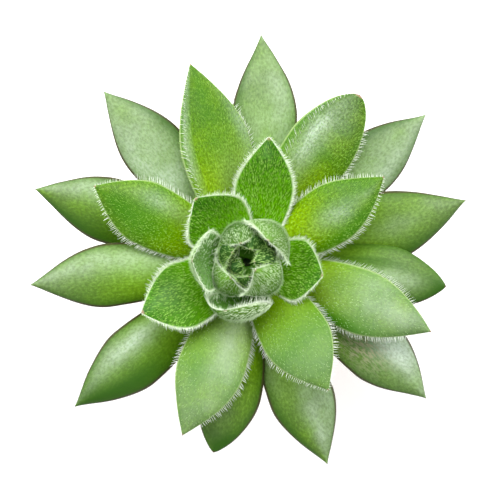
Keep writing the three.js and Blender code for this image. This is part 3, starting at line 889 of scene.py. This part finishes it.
def marginRoots(leaf, style, rng):
    steps = int(leaf["chord"].length * hair["edgeLength"] / style["spacing"])
    spread = marginSpread
    roots = []
    for margin, ridge in ((0, math.acos(leaf["ridge"])), (math.pi, 0)):
        for i in range(steps):
            s = (i + rng.uniform(-spread["place"], spread["place"])) / steps
            s = min(spread["to"], max(spread["from"], s))
            rib = ribFrame(leaf, s)
            around = margin + rng.gauss(0, spread["around"])
            way = skinNormal(leaf, s, around, rib) + rib[1] * (style["lean"] + rng.gauss(0, spread["lean"]))
            way += rib[3] * rng.gauss(style["inward"] + leaf["inward"], spread["inward"])
            length = style["length"] * leaf["shag"] * rng.uniform(*spread["length"])
            length *= min(1, spread["tipLength"] + spread["tipGrowth"] * (1 - s))
            spot = skinPoint(leaf, s, around + ridge, rib)
            roots.append((spot, way.normalized(), length, style["thick"], style["tone"] + leaf["tone"]))
    return roots


# Down on the faces: hairs per square millimetre above and below, and how far they lie over. fan spreads them
# outwards; a negative one draws them in to the tip.
down = {
    "bud": {
        "above": 2.0, "below": 11.0, "length": 1.7, "thick": 0.12, "lean": 2.6, "fan": -1.6, "tone": 0.35,
    },
    "inner": {
        "above": 3.6, "below": 3.0, "length": 1.0, "thick": 0.13, "lean": 3.0, "fan": 1.2, "tone": 0.9,
    },
    "middle": {
        "above": 3.6, "below": 1.5, "length": 0.5, "thick": 0.065, "lean": 2.0, "fan": 0.9, "tone": 0.9,
    },
}
downSpread = {"along": (0.05, 0.99), "across": 0.98, "lean": (0.8, 1.2), "fan": 0.14, "length": (0.6, 1.2)}


def downRoots(leaf, rng):
    style, spread = down[leaf["tier"]], downSpread
    reach = leaf["chord"].length * hair["faceLength"]
    roots = []
    for face, density in ((1, style["above"]), (-1, style["below"])):
        for i in range(int(density * reach * leaf["width"] * leaf["nap"])):
            s = rng.uniform(*spread["along"])
            across = rng.uniform(-1, 1)
            if abs(across) * leaf["width"] / 2 > halfWidth(leaf, s):
                continue
            across = across * leaf["width"] / 2 / halfWidth(leaf, s)
            around = face * math.acos(max(-spread["across"], min(spread["across"], across)))
            rib = ribFrame(leaf, s)
            way = skinNormal(leaf, s, around, rib) + rib[1] * style["lean"] * rng.uniform(*spread["lean"])
            way += rib[2] * (across * style["fan"] + rng.gauss(0, spread["fan"]))
            length = style["length"] * rng.uniform(*spread["length"])
            spot = skinPoint(leaf, s, around, rib)
            roots.append((spot, way.normalized(), length, style["thick"], style["tone"] + leaf["tone"]))
    return roots


def insideBox(root):  # true for a hair that stays within the solids' overall size
    spot, way, length = root[:3]
    end = (spot + way * length) * mm
    room = hair["clear"] * mm
    return all(cadBox[0][i] + room < end[i] < cadBox[1][i] - room for i in range(3))


def spikeMesh(bent):  # one unit long and thick, with its foot at the origin
    bm = bmesh.new()
    if bent:
        bmesh.ops.create_cone(bm, cap_ends=True, segments=3, radius1=0.5, radius2=hair["elbow"], depth=0.5)
        bmesh.ops.translate(bm, vec=(0, 0, 0.25), verts=bm.verts)
        upper = next(face for face in bm.faces if face.normal.z > 0.9)
        bmesh.ops.poke(bm, faces=[upper], offset=0.5)
        for vert in bm.verts:
            vert.co.x += hair["bend"] * vert.co.z ** 2
    else:
        bmesh.ops.create_cone(bm, cap_ends=True, segments=3, radius1=0.5, radius2=0, depth=1)
        bmesh.ops.translate(bm, vec=(0, 0, 0.5), verts=bm.verts)
    return addObject("spike", bm)


def hairNodes(spike):  # sets the spike on each root point and makes the result one mesh
    group = bpy.data.node_groups.new("set_hairs", "GeometryNodeTree")
    group.interface.new_socket("Geometry", in_out="INPUT", socket_type="NodeSocketGeometry")
    group.interface.new_socket("Geometry", in_out="OUTPUT", socket_type="NodeSocketGeometry")
    start = addNode(group, "NodeGroupInput")
    info = addNode(group, "GeometryNodeObjectInfo", {"Object": spike})
    way = addNode(group, "GeometryNodeInputNamedAttribute", {"Name": "way"}, data_type="FLOAT_VECTOR")
    size = addNode(group, "GeometryNodeInputNamedAttribute", {"Name": "size"}, data_type="FLOAT_VECTOR")
    aim = {"Vector": way.outputs["Attribute"]}
    turn = addNode(group, "FunctionNodeAlignRotationToVector", aim, axis="Z")
    place = addNode(group, "GeometryNodeInstanceOnPoints", {
        "Points": start.outputs[0],
        "Instance": info.outputs["Geometry"],
        "Rotation": turn.outputs["Rotation"],
        "Scale": size.outputs["Attribute"],
    })
    real = addNode(group, "GeometryNodeRealizeInstances", {"Geometry": place.outputs["Instances"]})
    addNode(group, "NodeGroupOutput", {0: real.outputs["Geometry"]})
    return group


def setHairs(name, roots, group):
    bm = bmesh.new()
    wayLayer = bm.verts.layers.float_vector.new("way")
    sizeLayer = bm.verts.layers.float_vector.new("size")
    toneLayer = bm.verts.layers.float.new("tone")
    for spot, way, length, thick, tone in filter(insideBox, roots):
        vert = bm.verts.new(spot * mm)
        vert[wayLayer] = way
        vert[sizeLayer] = (thick * mm, thick * mm, length * mm)
        vert[toneLayer] = tone
    piece = addObject(name, bm)
    modifier = piece.modifiers.new("hairs", "NODES")
    modifier.node_group = group
    depsgraph = bpy.context.evaluated_depsgraph_get()
    grown = bpy.data.meshes.new_from_object(piece.evaluated_get(depsgraph))
    piece.modifiers.clear()
    piece.data = grown
    for layer in ("way", "size"):
        if layer in grown.attributes:
            grown.attributes.remove(grown.attributes[layer])
    grown.materials.clear()
    grown.materials.append(hairSkin)
    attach(piece, "root")
    return len(grown.polygons)


def makeHairs():
    bentSpike, straightSpike = spikeMesh(True), spikeMesh(False)
    long, short = hairNodes(bentSpike), hairNodes(straightSpike)
    rng = random.Random(hair["seed"])
    groups = [(f"leaf_{number:02d}", [leaf]) for number, leaf in enumerate(allLeaves, 1)]
    groups.append(("heart", heartLeaves))
    total = 0
    for name, leaves in groups:
        tier = leaves[0]["tier"]
        if tier not in down:
            continue
        fringe = [root for leaf in leaves for root in marginRoots(leaf, comb[tier], rng)]
        total += setHairs(name + "_fringe", fringe, long)
        fine = [root for leaf in leaves for root in downRoots(leaf, rng)]
        if tier in felt:
            fine += [root for leaf in leaves for root in marginRoots(leaf, felt[tier], rng)]
        total += setHairs(name + "_down", fine, short)
    for spike in (bentSpike, straightSpike):
        bpy.data.objects.remove(spike)
    print("hairs set:", total, "faces")


makeHairs()

# Stage: a plain pale floor and soft studio light

stageLook = {
    "floor": 3.0, "paper": (0.9, 0.9, 0.9, 1), "rough": 0.9, "glow": 0.28,
    "sky": (0.96, 0.98, 1.0, 1), "world": 0.55,
    "aim": (0, 0, 60 * mm),  # what the lamps point at
}
lamps = [
    # name, place, size, power in watts
    ("north", (0, 0.6, 0.85), 0.6, 9),
    ("northwest", (-0.65, 0.4, 0.75), 0.55, 6.5),
    ("northeast", (0.7, 0.4, 0.7), 0.55, 5.5),
]


def makeStage():
    material, tree, shader = newMaterial("floor_paper")
    feed(tree, shader, {
        "Base Color": stageLook["paper"],
        "Roughness": stageLook["rough"],
        "Emission Color": (1, 1, 1, 1),
        "Emission Strength": stageLook["glow"],
    })
    bm = bmesh.new()
    bmesh.ops.create_grid(bm, x_segments=1, y_segments=1, size=stageLook["floor"])
    floor = addObject("floor", bm, material)
    world = bpy.data.worlds.new("studio")
    world.use_nodes = True
    background = world.node_tree.nodes["Background"]
    feed(world.node_tree, background, {"Color": stageLook["sky"], "Strength": stageLook["world"]})
    bpy.context.scene.world = world
    for name, place, size, power in lamps:
        lampData = bpy.data.lights.new(name, "AREA")
        lampData.shape = "DISK"
        lampData.size = size
        lampData.energy = power
        lamp = bpy.data.objects.new(name, lampData)
        lamp.location = place
        aim = Vector(stageLook["aim"]) - Vector(place)
        lamp.rotation_euler = aim.to_track_quat("-Z", "Y").to_euler()
        bpy.context.scene.collection.objects.link(lamp)
    bpy.context.scene.view_settings.view_transform = "Standard"


makeStage()
print("stage lit")
